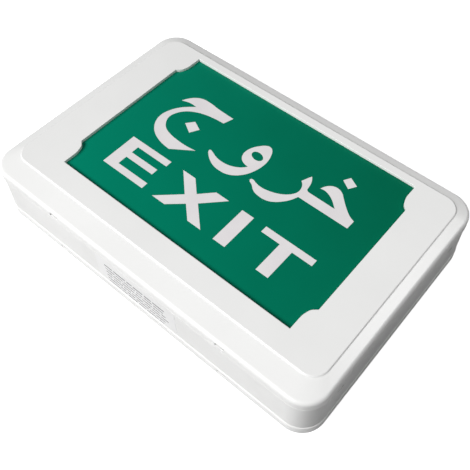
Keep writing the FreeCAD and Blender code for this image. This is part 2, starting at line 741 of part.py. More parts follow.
def make_board():
    corner = ("(board_long / 2 - 4)", "(board_wide / 2 - 4)")
    places = [(f"-board_out {sx or '+'} {corner[0]}", f"0 {sy or '+'} {corner[1]}")
              for sx, sy in CORNERS]
    plain = block("board_blank", ("board_long", "board_wide", "board_thick"),
                  ("-board_out - board_long / 2", "-board_wide / 2", BOARD_LOW))
    holes = [rod(f"board_hole_{index}", 1.6, "board_thick + 2", (x, y, f"{BOARD_LOW} - 1"))
             for index, (x, y) in enumerate(places)]
    node(cut("board", plain, *holes), "circuit_board")
    spacers = []
    for index, (x, y) in enumerate(places):
        tube = rod(f"spacer_tube_{index}", 3.0, "spacer_tall", (x, y, FLOOR_TOP))
        bore = rod(f"spacer_bore_{index}", 1.3, "spacer_tall", (x, y, FLOOR_TOP))
        spacers.append(cut(f"spacer_{index}", tube, bore))
    node(group("spacers", *spacers), "board_spacers")
    screws = [screw(f"board_screw_{index}", x, y, BOARD_TOP, 2.6, 1.25, 6)
              for index, (x, y) in enumerate(places)]
    node(group("all_board_screws", *screws), "board_screws")


def make_transformer(x, y):
    """An E-core with its coil around the middle leg."""
    core_long, core_wide, core_tall = 30, 12, "part_tall"
    yoke, leg, outer_leg, coil_reach = 3, 9, 4, 10
    px, py = on_board(x, y)
    core = board_part("core_blank", (core_long, core_wide, core_tall), x, y)
    gap = core_long / 2 - outer_leg - leg / 2
    room = f"{core_tall} - {2 * yoke}"
    windows = [block(f"core_window_{index}", (gap, core_wide + 2, room),
                     (f"{px} + {start}", f"{py} - {core_wide / 2 + 1}", f"{BOARD_TOP} + {yoke}"))
               for index, start in enumerate((leg / 2, -leg / 2 - gap))]
    node(cut("core", core, *windows), "transformer_core")
    half = leg / 2 + gap - 0.3
    coil = block("coil_blank", (2 * half, 2 * coil_reach, f"{room} - 0.3"),
                 (f"{px} - {half}", f"{py} - {coil_reach}", f"{BOARD_TOP} + {yoke}"))
    inner = block("coil_inner", (leg + 0.2, core_wide + 0.2, core_tall),
                  (f"{px} - {leg / 2 + 0.1}", f"{py} - {core_wide / 2 + 0.1}", BOARD_TOP))
    node(cut("coil", coil, inner), "transformer_winding")


def make_capacitor(index, x, y, radius, tall):
    """A can with the rolled groove near its foot."""
    px, py = on_board(x, y)
    can = rod(f"can_{index}", radius, tall, (px, py, BOARD_TOP))
    groove = doc.addObject("Part::Torus", f"can_groove_{index}")
    groove.Radius1 = radius + 0.3
    groove.Radius2 = 0.7
    put(groove, px, py, f"{BOARD_TOP} + 2.5")
    node(cut(f"grooved_can_{index}", can, groove), f"capacitor_{index}")


def make_heat_sink(x, y):
    """An extruded comb of fins with the power transistor against its flat side."""
    sink_long, back_thick, fin_deep, fin_thick, fins = 26, 2, 8, 1.2, 6
    tall = "part_tall - 1"
    px, py = on_board(x, y)
    pieces = [block("sink_back", (sink_long, back_thick, tall),
                    (f"{px} - {sink_long / 2}", py, BOARD_TOP))]
    apart = (sink_long - fin_thick) / (fins - 1)
    for index in range(fins):
        start = (f"{px} - {sink_long / 2} + {index * apart}", f"{py} + {back_thick}", BOARD_TOP)
        pieces.append(block(f"sink_fin_{index}", (fin_thick, fin_deep, tall), start))
    node(fuse("sink", *pieces), "heat_sink")
    leg_tall, body_long, body_deep = 4, 10, 4
    body = block("transistor_body", (body_long, body_deep, f"part_tall - {leg_tall} - 3"),
                 (f"{px} - {body_long / 2}", f"{py} - {body_deep}", f"{BOARD_TOP} + {leg_tall}"))
    legs = [block(f"transistor_leg_{index}", (0.8, 0.6, leg_tall + 0.5),
                  (f"{px} + {place}", f"{py} - 2.3", BOARD_TOP))
            for index, place in enumerate((-2.9, -0.4, 2.1))]
    node(fuse("transistor", body, *legs), "power_transistor")


def make_fuse(x, y):
    """A glass cartridge fuse lying in two spring clips."""
    fuse_long, fuse_radius, cap_radius, clip_thick = 20, 2.4, 2.6, 0.5
    px, py = on_board(x, y)
    axis_level = f"{BOARD_TOP} + 4.5"
    glass = rod("fuse_glass", fuse_radius, fuse_long, (f"{px} - {fuse_long / 2}", py, axis_level), "x")
    caps = [rod(f"fuse_cap_{index}", cap_radius, 5, (f"{px} + {start}", py, axis_level), "x")
            for index, start in enumerate((-fuse_long / 2, fuse_long / 2 - 5))]
    node(fuse("fuse_body", glass, *caps), "fuse")
    clips = []
    for index, middle in enumerate((-fuse_long / 2 + 2.5, fuse_long / 2 - 2.5)):
        wide, half = 3, cap_radius + clip_thick
        shell = block(f"clip_blank_{index}", (wide, 2 * half, 7.5),
                      (f"{px} + {middle - wide / 2}", f"{py} - {half}", BOARD_TOP))
        hollow = rod(f"clip_round_{index}", cap_radius + 0.02, wide + 2,
                     (f"{px} + {middle - wide / 2 - 1}", py, axis_level), "x")
        mouth = block(f"clip_mouth_{index}", (wide + 2, 3.6, 6),
                      (f"{px} + {middle - wide / 2 - 1}", f"{py} - 1.8", axis_level))
        clips.append(cut(f"clip_{index}", shell, hollow, mouth))
    node(group("clips", *clips), "fuse_clips")


def make_plug(label, x, y, ways):
    """A pin header with one square well for each way."""
    pitch, wide, tall, well = 4, 7, 8, 2.4
    px, py = on_board(x, y)
    housing = board_part(label + "_housing", (pitch * ways + 2, wide, tall), x, y)
    wells = []
    for index in range(ways):
        middle = pitch * (index - (ways - 1) / 2)
        wells.append(block(f"{label}_well_{index}", (well, well, 6),
                           (f"{px} + {middle - well / 2}", f"{py} - {well / 2}",
                            f"{BOARD_TOP} + {tall - 5}")))
    node(cut(label + "_body", housing, *wells), label)


# ---------------------------------------------------------------- battery

CELLS = 3
END_WALL = 2
TAB_LONG = 9
TAB_OUT = f"({CELLS} * cell_long / 2 + {END_WALL + TAB_LONG / 2})"


def make_battery():
    half = f"({CELLS} * cell_long / 2 + {END_WALL})"
    cradle = block("cradle", (f"2 * {half}", "2 * cell_radius + 4", "cell_radius"),
                   (f"battery_out - {half}", "-(cell_radius + 2)", FLOOR_TOP))
    trough = rod("trough", "cell_radius + 0.05", f"{CELLS} * cell_long",
                 (f"battery_out - {CELLS} * cell_long / 2", "0", CELL_LEVEL), "x")
    tabs, holes = [], []
    for index, side in enumerate("+-"):
        middle = f"battery_out {side} {TAB_OUT}"
        tabs.append(block(f"tab_{index}", (TAB_LONG + 1, 11, 2.5),
                          (f"{middle} - {(TAB_LONG + 1) / 2}", "-5.5", FLOOR_TOP)))
        holes.append(rod(f"tab_hole_{index}", 1.5, 4, (middle, "0", f"{FLOOR_TOP} - 0.5")))
    node(cut("holder", fuse("holder_blank", cradle, *tabs), trough, *holes), "battery_holder")
    screws = [screw(f"holder_screw_{index}", f"battery_out {side} {TAB_OUT}", "0",
                    f"{FLOOR_TOP} + 2.5", 2.6, 1.25, 4.2) for index, side in enumerate("+-")]
    node(group("all_holder_screws", *screws), "holder_screws")
    nub_long = 1.2
    for index in range(CELLS):
        start = f"battery_out + {index - CELLS / 2} * cell_long"
        can = rod(f"cell_can_{index + 1}", "cell_radius", f"cell_long - {nub_long}",
                  (start, "0", CELL_LEVEL), "x")
        nub = rod(f"cell_nub_{index + 1}", 4.5, "cell_long - 1", (f"{start} + 1", "0", CELL_LEVEL), "x")
        node(fuse(f"cell_{index + 1}", can, nub), f"battery_cell_{index + 1}")


# ---------------------------------------------------------------- mains terminals and cable entry

def make_terminals():
    ways, pitch = 3, 11
    low = ("-(block_long + 2)", "entry_up - block_wide / 2", FLOOR_TOP)
    housing = block("terminal_housing", ("block_long", "block_wide", "block_tall"), low)
    cavities, clamps, screws = [], [], []
    for index in range(ways):
        middle = f"{low[0]} + block_long / 2 + {pitch * (index - (ways - 1) / 2)}"
        cavities.append(block(f"terminal_cavity_{index}", (7, "block_wide + 2", 7),
                              (f"{middle} - 3.5", f"{low[1]} - 1", f"{FLOOR_TOP} + 3")))
        cavities.append(rod(f"terminal_well_{index}", 2.2, "block_tall",
                            (middle, "entry_up", f"{FLOOR_TOP} + 5")))
        clamp = block(f"clamp_blank_{index}", (6.4, "block_wide - 4", 6.4),
                      (f"{middle} - 3.2", f"{low[1]} + 2", f"{FLOOR_TOP} + 3"))
        bore = rod(f"clamp_bore_{index}", 2, "block_wide", (middle, low[1], f"{FLOOR_TOP} + 6.2"), "y")
        clamps.append(cut(f"clamp_{index}", clamp, bore))
        stud = rod(f"stud_{index}", 1.9, 4, (middle, "entry_up", f"{FLOOR_TOP} + 9.4"))
        nick = block(f"stud_nick_{index}", (6, 0.7, 2),
                     (f"{middle} - 3", "entry_up - 0.35", f"{FLOOR_TOP} + 12.6"))
        screws.append(cut(f"terminal_screw_{index}", stud, nick))
    node(cut("terminals", housing, *cavities), "terminal_block")
    node(group("all_clamps", *clamps), "terminal_clamps")
    node(group("all_terminal_screws", *screws), "terminal_screws")


def make_grommet():
    place = ("entry_out", "entry_up")
    flanges = [rod("grommet_under", "entry_radius + 3", "floor_low - 0.1", (*place, "0.1")),
               rod("grommet_waist", "entry_radius - 0.05", FLOOR_TOP, (*place, "0.1")),
               rod("grommet_over", "entry_radius + 3", "1.5", (*place, FLOOR_TOP))]
    hole = rod("grommet_hole", GROMMET_HOLE, 12, (*place, "-1"))
    node(cut("grommet", fuse("grommet_blank", *flanges), hole), "cable_grommet")


# ---------------------------------------------------------------- test button and charge lamp

def make_test_button():
    face = f"-({HALF_LONG})"
    flange_start = f"-({WALL_INNER} - 0.15)"
    place = ("-button_aside", "button_level")
    pieces = [rod("button_cap", "button_radius", f"{HALF_LONG} - {WALL_INNER} + 0.4",
                  (face, *place), "x"),
              rod("button_flange", "button_radius + 1.4", BUTTON_FLANGE, (flange_start, *place), "x"),
              rod("button_stem", BUTTON_STEM, f"{SWITCH_AWAY} + 0.6", (flange_start, *place), "x")]
    node(fuse("button", *pieces), "test_button")

    switch_start = f"-({WALL_INNER} - {SWITCH_AWAY})"
    switch_low = ("-button_aside - 7", "button_level - 5.5")
    case = block("switch_case", (11, 14, 11), (switch_start, *switch_low))
    bore = rod("switch_bore", BUTTON_STEM + 0.4, "button_travel + 2.8", (switch_start, *place), "x")
    node(cut("switch", case, bore), "switch_housing")

    wire, turns = 0.3, 5
    gap = f"({SWITCH_AWAY} - 0.15 - {BUTTON_FLANGE} - {2 * wire + 0.1})"
    helix = doc.addObject("Part::Helix", "spring_line")
    helix.Radius = BUTTON_STEM + 1.2
    bind(helix, "Height", gap)
    bind(helix, "Pitch", f"{gap} / {turns}")
    section = doc.addObject("Part::Circle", "spring_wire")
    section.Radius = wire
    section.Placement = FreeCAD.Placement(FreeCAD.Vector(BUTTON_STEM + 1.2, 0, 0), TURNS["y"])
    spring = doc.addObject("Part::Sweep", "spring")
    spring.Sections = [section]
    spring.Spine = (helix, ["Edge1"])
    spring.Solid = True
    spring.Frenet = True
    spring.Placement = FreeCAD.Placement(FreeCAD.Vector(), TURNS["x"])
    put(spring, f"{switch_start} - {gap} - {wire}", *place)
    node(spring, "button_spring")


def make_charge_lamp():
    place = ("-signal_aside", "button_level")
    lens = rod("lens", "signal_radius", f"{HALF_LONG} - {WALL_INNER} + 3",
               (f"-({HALF_LONG} - 0.8)", *place), "x")
    dome = doc.addObject("Part::Sphere", "lens_dome")
    bind(dome, "Radius", "signal_radius")
    put(dome, f"-({HALF_LONG} - 0.8 - signal_radius / 2)", *place)
    flange = rod("lens_flange", "signal_radius + 0.6", 1, (f"-({WALL_INNER})", *place), "x")
    node(fuse("signal", lens, flange), "charge_lamp")


# ---------------------------------------------------------------- build, check, write

make_front_cover()
make_body_frame()
make_back_plate()
make_legend()
make_reflector()
make_lamp()
make_lamp_holder("left", "-")
make_lamp_holder("right", "")
make_reflector_screws()
make_board()
make_transformer(-36, 8)
make_capacitor(1, -12, 12, 6, "part_tall")
make_capacitor(2, 4, 13, 5, "part_tall - 1")
node(board_part("relay_case", (19, 15, "part_tall - 1"), 22, 12), "relay")
make_heat_sink(-12, -16)
make_fuse(22, -14)
make_plug("lamp_plug", -42, -14, 4)
make_plug("battery_plug", 46, 10, 2)
make_battery()
make_terminals()
make_grommet()
make_test_button()
make_charge_lamp()
doc.recompute()

for item in doc.Objects:
    if any(state in ("Invalid", "Error") for state in item.State):
        raise RuntimeError(f"{item.Name} failed: {item.State}")
os.makedirs("parts", exist_ok=True)
for label, item in NODES.items():
    shape = item.Shape
    if shape.isNull() or not shape.isValid():
        raise RuntimeError(label + " has no valid shape")
    print(f"{label}: {len(shape.Solids)} solid(s), {shape.Volume:.0f} mm3")
for label, item in NODES.items():
    item.Shape.exportStep(f"parts/{label}.step")
print(len(NODES), "nodes")
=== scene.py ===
import math

import bmesh
import bpy
from mathutils import Matrix, Vector


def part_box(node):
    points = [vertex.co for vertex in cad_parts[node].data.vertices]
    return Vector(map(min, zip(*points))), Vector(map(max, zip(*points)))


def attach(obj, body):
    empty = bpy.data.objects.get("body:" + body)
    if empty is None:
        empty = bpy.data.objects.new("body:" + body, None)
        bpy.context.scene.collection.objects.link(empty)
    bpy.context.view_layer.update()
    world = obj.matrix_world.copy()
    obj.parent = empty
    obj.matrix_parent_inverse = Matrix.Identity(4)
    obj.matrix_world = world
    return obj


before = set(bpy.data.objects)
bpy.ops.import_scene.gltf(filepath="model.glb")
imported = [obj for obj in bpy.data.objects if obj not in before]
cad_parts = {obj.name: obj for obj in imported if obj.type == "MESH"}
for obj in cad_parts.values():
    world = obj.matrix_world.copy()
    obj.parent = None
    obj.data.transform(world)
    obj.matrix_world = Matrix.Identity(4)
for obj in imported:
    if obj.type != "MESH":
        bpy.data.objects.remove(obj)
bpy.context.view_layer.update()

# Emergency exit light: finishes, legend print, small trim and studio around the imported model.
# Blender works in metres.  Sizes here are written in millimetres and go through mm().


def mm(*numbers):
    """Millimetres to metres: one number, or a vector of several."""
    metres = [number / 1000 for number in numbers]
    return metres[0] if len(metres) == 1 else Vector(metres)


# ---------------------------------------------------------------- places read from the frame

PROUD_BEAD = mm(0.6)        # the seam beads stand this far out of the plain wall
FOOT_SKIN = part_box("body_frame")[0].y + PROUD_BEAD
FILM_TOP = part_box("legend_film")[1].z


# ---------------------------------------------------------------- finishes

DIAGONAL = (0.75, 0.66, 0)  # direction across the case, from its lower left to its upper right corner


def linear(code):
    """An sRGB hex colour as linear numbers with alpha."""
    parts = [int(code[place:place + 2], 16) / 255 for place in (1, 3, 5)]
    return [part / 12.92 if part <= 0.04045 else ((part + 0.055) / 1.055) ** 2.4 for part in parts] + [1.0]


def add(tree, kind, values=None, links=None, **settings):
    """Add a node with its settings, its sockets' values and its links."""
    item = tree.nodes.new(kind)
    for name, setting in settings.items():
        setattr(item, name, setting)
    for name, value in (values or {}).items():
        item.inputs[name].default_value = value
    for name, output in (links or {}).items():
        tree.links.new(output, item.inputs[name])
    return item


def surface(name, tones, patch, roughness, grain=0.8, relief=0.01, stretch=(1, 1, 1), painted_falloff=0, edge=0,
            painted_shade_reach=0, **shader):
    """A finish made of two tones in soft patches, a roughness range and a fine relief.

    patch, grain and relief are millimetres; stretch squeezes the relief's grain along X, Y or Z.
    painted_falloff is the length, across the case's diagonal, over which the first tone passes into the
    second: a painted light falloff, the first tone at the lower left and the second at the upper right.
    edge is the radius of the soft edges a mould leaves.
    painted_shade_reach is how far the walls of a slit or a seam stand apart for its inside to get painted
    shade: ambient occlusion darkens the base colour there.
    """
    made = bpy.data.materials.new(name)
    made.use_nodes = True
    tree = made.node_tree
    tree.nodes.clear()
    constants = {key.replace("_", " "): value for key, value in shader.items()}
    bsdf = add(tree, "ShaderNodeBsdfPrincipled", constants)
    add(tree, "ShaderNodeOutputMaterial", links={"Surface": bsdf.outputs[0]})
    where = add(tree, "ShaderNodeTexCoord").outputs["Object"]
    patches = add(tree, "ShaderNodeTexNoise", {"Scale": 1 / mm(patch), "Detail": 3.0}, {"Vector": where})
    blend = patches.outputs["Fac"]
    # Painted light falloff: the tones shift across the case's diagonal the way the light falls off.
    if painted_falloff:
        along = add(tree, "ShaderNodeVectorMath", {1: DIAGONAL}, {0: where}, operation="DOT_PRODUCT")
        passed = add(tree, "ShaderNodeMapRange",
                     {"From Min": -mm(painted_falloff) / 2, "From Max": mm(painted_falloff) / 2, "To Min": 0.25, "To Max": 0.75},
                     {"Value": along.outputs["Value"]})
        shared = add(tree, "ShaderNodeMix", {"Factor": 0.9}, {"A": blend, "B": passed.outputs[0]})
        blend = shared.outputs[0]
    ramp = add(tree, "ShaderNodeValToRGB", links={"Fac": blend})
    places = (0.25, 0.75) if painted_falloff else (0.35, 0.65)
    for stop, place, tone in zip(ramp.color_ramp.elements, places, tones):
        stop.position, stop.color = place, linear(tone)
    colour = ramp.outputs["Color"]
    # Painted shade: ambient occlusion darkens the base colour inside slits, seams and recesses.
    if painted_shade_reach:
        hollow = add(tree, "ShaderNodeAmbientOcclusion", {"Distance": mm(painted_shade_reach)}, samples=12)
        depth = add(tree, "ShaderNodeMapRange",
                    {"From Min": 0.45, "From Max": 0.75, "To Min": 0.02, "To Max": 1.0},
                    {"Value": hollow.outputs["AO"]})
        painted_shade_colour = add(tree, "ShaderNodeVectorMath", links={0: colour, 1: depth.outputs[0]},
                     operation="MULTIPLY")
        colour = painted_shade_colour.outputs["Vector"]
    tree.links.new(colour, bsdf.inputs["Base Color"])
    squeezed = add(tree, "ShaderNodeMapping", {"Scale": stretch}, {"Vector": where})
    fine = add(tree, "ShaderNodeTexNoise", {"Scale": 1 / mm(grain), "Detail": 2.0},
               {"Vector": squeezed.outputs[0]})
    sheen = add(tree, "ShaderNodeMapRange", {"To Min": roughness[0], "To Max": roughness[1]},
                {"Value": fine.outputs["Fac"]})
    tree.links.new(sheen.outputs[0], bsdf.inputs["Roughness"])
    bump = add(tree, "ShaderNodeBump", {"Strength": 0.5, "Distance": mm(relief)},
               {"Height": fine.outputs["Fac"]})
    tree.links.new(bump.outputs[0], bsdf.inputs["Normal"])
    if edge:
        softened = add(tree, "ShaderNodeBevel", {"Radius": mm(edge)}, samples=6)
        tree.links.new(softened.outputs[0], bump.inputs["Normal"])
    return made


# Injection-moulded ABS from a polished tool: clean white, broad soft highlights, a trace of orange peel.
WHITE_ABS = surface("moulded_white_abs", ("#F0F0EF", "#F3F3F2"), 60, (0.22, 0.30), 1.6, 0.012, edge=0.9,
                    IOR=1.54)
# The same ABS on the cover, polished more finely.
COVER_ABS = surface("moulded_white_abs_cover", ("#F0F0EF", "#F3F3F2"), 60, (0.26, 0.34), 1.6, 0.004, edge=0.9,
                    IOR=1.54)
# The same ABS on the deep side walls, where the tool's draw leaves faint upright streaks; its slits and seams
# carry painted shade.
DRAWN_ABS = surface("moulded_white_abs_side_wall", ("#EEEEED", "#F2F2F1"), 35, (0.34, 0.46), 2.2, 0.03,
                    (1, 1, 0.06), painted_shade_reach=2.5, IOR=1.54, Specular_IOR_Level=0.2)

# Screen-printed green ink under an anti-glare lacquer, with a painted light falloff: lighter toward the lower
# left, darker toward the upper right.
GREEN_INK = surface("green_ink_on_film", ("#008368", "#006247"), 45, (0.30, 0.38), 1.2, 0.004, painted_falloff=288,
                    IOR=1.50, Specular_IOR_Level=0.05)
# Unprinted film over the opal panel: milky, slightly grey white.
CLEAR_PRINT = surface("unprinted_film_white", ("#E6E2E4", "#EAE7E8"), 20, (0.18, 0.24), 1.2, 0.003, IOR=1.50)
# Cast opal acrylic: dense milky white with a gloss face.
OPAL = surface("opal_acrylic", ("#E8E7E4", "#EDECEA"), 30, (0.12, 0.18), 2.0, 0.003, IOR=1.49)
# Stove enamel on folded steel sheet: warm white, slight orange peel.
ENAMEL = surface("white_stove_enamel", ("#E9E8E2", "#F0EFEA"), 25, (0.25, 0.36), 1.4, 0.02, IOR=1.52)
# Phosphor seen through the tube's soda glass: matt white under a hard gloss.
PHOSPHOR = surface("phosphor_coated_glass", ("#EBEAE4", "#F1F0EC"), 12, (0.08, 0.12), 1.0, 0.002,
                   Coat_Weight=0.6)
# Pressed aluminium lamp caps: bright, faintly brushed round the cap.
CAP_METAL = surface("pressed_aluminium", ("#B9BBBD", "#C9CBCC"), 4, (0.28, 0.42), 0.4, 0.006, (0.2, 1, 1),
                    Metallic=1.0)
# Turned brass pins and pressed brass clamps: warm yellow, dull where handled.
BRASS = surface("plain_brass", ("#B8924E", "#CBA965"), 3, (0.30, 0.45), 0.4, 0.005, Metallic=1.0)
# Polycarbonate lamp holders and headers: matt white with a fine eroded grain.
POLYCARBONATE = surface("white_polycarbonate", ("#E4E3DD", "#ECEBE6"), 8, (0.42, 0.55), 0.5, 0.01, IOR=1.58)
# Zinc plate on steel screws: cool grey with a soft bluish bloom.
ZINC = surface("zinc_plated_steel", ("#A9AEB3", "#C3C7C9"), 2, (0.30, 0.46), 0.3, 0.006, Metallic=1.0)
# Solder mask over glass laminate: deep green, the weave just telling under the gloss.
LAMINATE = surface("solder_mask_on_laminate", ("#1D5A34", "#267043"), 6, (0.22, 0.34), 0.7, 0.015, IOR=1.52)
# Natural nylon spacers and terminal housing: ivory, waxy.
NYLON = surface("natural_nylon", ("#D9D5C6", "#E4E0D3"), 6, (0.40, 0.52), 0.6, 0.01, IOR=1.53)
# Sintered ferrite: near black, fine-pored and dull.
FERRITE = surface("sintered_ferrite", ("#26272A", "#33353A"), 2, (0.55, 0.72), 0.25, 0.02)
# Polyester tape wound over the coil: amber yellow, smooth.
TAPE = surface("polyester_tape", ("#C99A1E", "#D9AE33"), 5, (0.20, 0.30), 0.5, 0.006, (1, 1, 0.2))
# Shrunk PVC sleeve on the capacitors: dark blue, glossy with slight ripples.
BLUE_SLEEVE = surface("blue_shrink_sleeve", ("#15204A", "#1C2A5C"), 5, (0.18, 0.30), 1.5, 0.02)
# Filled epoxy and PBT mouldings: charcoal black with a fine matt grain.
BLACK_MOULDING = surface("black_moulding", ("#1B1B1C", "#262627"), 4, (0.45, 0.60), 0.4, 0.01)
# Extruded aluminium: pale grey, drawn lines along the fins.
EXTRUSION = surface("extruded_aluminium", ("#9FA3A6", "#B4B7B9"), 3, (0.32, 0.48), 0.5, 0.01, (1, 1, 0.08),
                    Metallic=1.0)
# Soda glass fuse tube with plated ends: pale, hard gloss.
FUSE_GLASS = surface("fuse_glass", ("#C4CBCB", "#D3D9D9"), 3, (0.05, 0.09), 0.6, 0.001, Coat_Weight=0.4)
# Printed shrink sleeve on the cells: plain yellow, lightly rippled.
YELLOW_SLEEVE = surface("yellow_shrink_sleeve", ("#D9A400", "#E6B416"), 9, (0.20, 0.32), 2.0, 0.02)
# Moulded rubber grommet: soft black, dry sheen.
RUBBER = surface("moulded_rubber", ("#1A1A1A", "#242424"), 4, (0.60, 0.78), 0.5, 0.02, Sheen_Weight=0.15)
# Dyed ABS test button: signal red, satin.
RED_ABS = surface("red_abs", ("#B01519", "#BD1D20"), 3, (0.34, 0.44), 0.4, 0.008, IOR=1.54)
# Patented spring wire: bright grey, drawn along its length.
SPRING_WIRE = surface("bright_spring_wire", ("#8E9093", "#A3A5A7"), 1.5, (0.24, 0.36), 0.3, 0.004,
                      Metallic=1.0)
# Tinted styrene lens of the charge lamp: clear green, wet gloss.
GREEN_LENS = surface("green_lens", ("#1E8F3C", "#2AA84B"), 1.5, (0.06, 0.10), 0.4, 0.001, IOR=1.59)
# Vinyl sticker: a shade whiter and smoother than the wall it is on.
VINYL = surface("white_vinyl_sticker", ("#EFEFEF", "#F2F2F2"), 18, (0.30, 0.38), 1.0, 0.004, IOR=1.50,
                Specular_IOR_Level=0.3)
# Thin grey print on the sticker.
GREY_PRINT = surface("grey_print", ("#4A4A4E", "#606065"), 2, (0.35, 0.45), 0.6, 0.002)

NODE_FINISHES = {
    COVER_ABS: ("front_cover",),
    WHITE_ABS: ("back_plate",),
    DRAWN_ABS: ("body_frame",),
    GREEN_INK: ("legend_film",),
    OPAL: ("legend_panel",),
    ENAMEL: ("reflector",),
    PHOSPHOR: ("lamp_glass",),
    CAP_METAL: ("lamp_cap_left", "lamp_cap_right"),
    BRASS: ("lamp_pins", "fuse_clips", "terminal_clamps"),
    POLYCARBONATE: ("lamp_holder_left", "lamp_holder_right", "lamp_plug", "battery_plug", "battery_holder"),
    ZINC: ("reflector_screws", "board_screws", "holder_screws", "terminal_screws"),
    LAMINATE: ("circuit_board",),
    NYLON: ("board_spacers", "terminal_block"),
    FERRITE: ("transformer_core",),
    TAPE: ("transformer_winding",),
    BLUE_SLEEVE: ("capacitor_1", "capacitor_2"),
    BLACK_MOULDING: ("relay", "power_transistor", "switch_housing"),
    EXTRUSION: ("heat_sink",),
    FUSE_GLASS: ("fuse",),
    YELLOW_SLEEVE: ("battery_cell_1", "battery_cell_2", "battery_cell_3"),
    RUBBER: ("cable_grommet",),
    RED_ABS: ("test_button",),
    SPRING_WIRE: ("button_spring",),
    GREEN_LENS: ("charge_lamp",),
}
for finish, names in NODE_FINISHES.items():
    for name in names:
        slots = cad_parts[name].data.materials
        slots.clear()
        slots.append(finish)


# ---------------------------------------------------------------- modelling helpers

def alone(item):
    """Make one object the only selected and active one."""
    bpy.ops.object.select_all(action="DESELECT")
    item.select_set(True)
    bpy.context.view_layer.objects.active = item


def settle(item):
    """Put an object's place into its mesh."""
    alone(item)
    bpy.ops.object.transform_apply(location=True, rotation=True, scale=True)


def belongs(item, body, finish):
    """Dress a finished piece and let it move with its body."""
    item.data.materials.clear()
    item.data.materials.append(finish)
    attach(item, body)


# ---------------------------------------------------------------- legend print

PRINT_THICK = mm(0.04)      # a layer of clear lacquer, drawn thick enough to stay apart from the film
CORNER = True

# Each outline is a list of points in millimetres from the case's middle, X along the line of reading
# and Y up; the ones marked CORNER are sharp and the rest lie on a smooth curve.
STEM, ARM = 12.2, 6.6       # widths of the Latin capitals' upright and level strokes
CAP_TOP, CAP_FOOT = -13.7, -50.7


def block_letter_e(left, right):
    """E: three arms, the middle one short."""
    middle = (CAP_TOP + CAP_FOOT) / 2 + 0.9
    inner = left + STEM
    return [(left, CAP_TOP), (right - 0.8, CAP_TOP), (right - 0.8, CAP_TOP - ARM), (inner, CAP_TOP - ARM),
            (inner, middle + ARM / 2), (right - 4, middle + ARM / 2), (right - 4, middle - ARM / 2),
            (inner, middle - ARM / 2), (inner, CAP_FOOT + ARM), (right, CAP_FOOT + ARM), (right, CAP_FOOT),
            (left, CAP_FOOT)]


def block_letter_x(left, right):
    """X: two crossing strokes, a little narrower at the head than at the foot."""
    centre, waist, across = (left + right) / 2 + 0.4, -32.2, 14.2
    head_left, head_right, half_waist, notch = left + 1.2, right - 1.2, 7.5, 6.6
    return [(head_left, CAP_TOP), (head_left + across, CAP_TOP), (centre, waist + notch),
            (head_right - across, CAP_TOP), (head_right, CAP_TOP), (centre + half_waist, waist),
            (right, CAP_FOOT), (right - across, CAP_FOOT), (centre, waist - notch),
            (left + across, CAP_FOOT), (left, CAP_FOOT), (centre - half_waist, waist)]


def block_letter_t(left, right):
    """T: one bar over a centred stem."""
    stem_left, stem_right = (left + right - STEM) / 2 - 0.2, (left + right + STEM) / 2 - 0.2
    return [(left, CAP_TOP), (right, CAP_TOP), (right, CAP_TOP - ARM), (stem_right, CAP_TOP - ARM),
            (stem_right, CAP_FOOT), (stem_left, CAP_FOOT), (stem_left, CAP_TOP - ARM), (left, CAP_TOP - ARM)]


def square_letter_i(left, right):
    """I: one upright stroke."""
    return [(left, CAP_TOP), (right, CAP_TOP), (right, CAP_FOOT), (left, CAP_FOOT)]


def sharp(points):
    """Mark every point of an outline as a corner."""
    return [(x, y, CORNER) for x, y in points]


LETTER_JIM = [
    (-99.5, 47.2, CORNER), (-96.2, 53.0), (-91.8, 57.8), (-86.0, 61.0), (-77.0, 61.9), (-66.0, 60.8),
    (-47.0, 60.1, CORNER), (-50.2, 50.1, CORNER), (-61.0, 49.2), (-71.5, 47.1), (-80.5, 43.5), (-87.8, 38.2),
    (-92.4, 31.2), (-93.8, 24.6), (-91.6, 18.2), (-86.4, 12.7), (-79.0, 9.8), (-68.0, 8.3), (-57.0, 8.2),
    (-47.4, 9.3, CORNER), (-67.0, -4.2, CORNER), (-74.5, -3.5), (-82.5, -1.6), (-89.3, 1.5), (-95.6, 6.8),
    (-99.8, 13.8), (-101.2, 21.5), (-99.4, 30.0), (-95.3, 37.8), (-90.0, 43.8), (-83.3, 49.6, CORNER),
    (-90.8, 49.7)]
LETTER_WAW = [
    (-38.4, 18.4), (-38.5, 16.9), (-35.6, 13.4), (-30.2, 9.4), (-23.5, 6.6), (-15.8, 5.9), (-9.4, 6.8),
    (-3.6, 9.7), (1.3, 14.2), (5.1, 19.8), (7.8, 26.8), (9.2, 34.0), (9.1, 41.0), (7.4, 47.4), (4.6, 52.8),
    (0.7, 55.2), (-3.2, 54.1), (-7.6, 49.8), (-11.1, 44.6), (-13.0, 38.2), (-12.7, 33.3), (-10.2, 28.7),
    (-6.0, 26.0), (-0.3, 24.9, CORNER), (-3.7, 21.0), (-8.2, 18.0), (-14.0, 15.7), (-21.0, 14.8),
    (-28.7, 15.7), (-34.7, 17.9)]
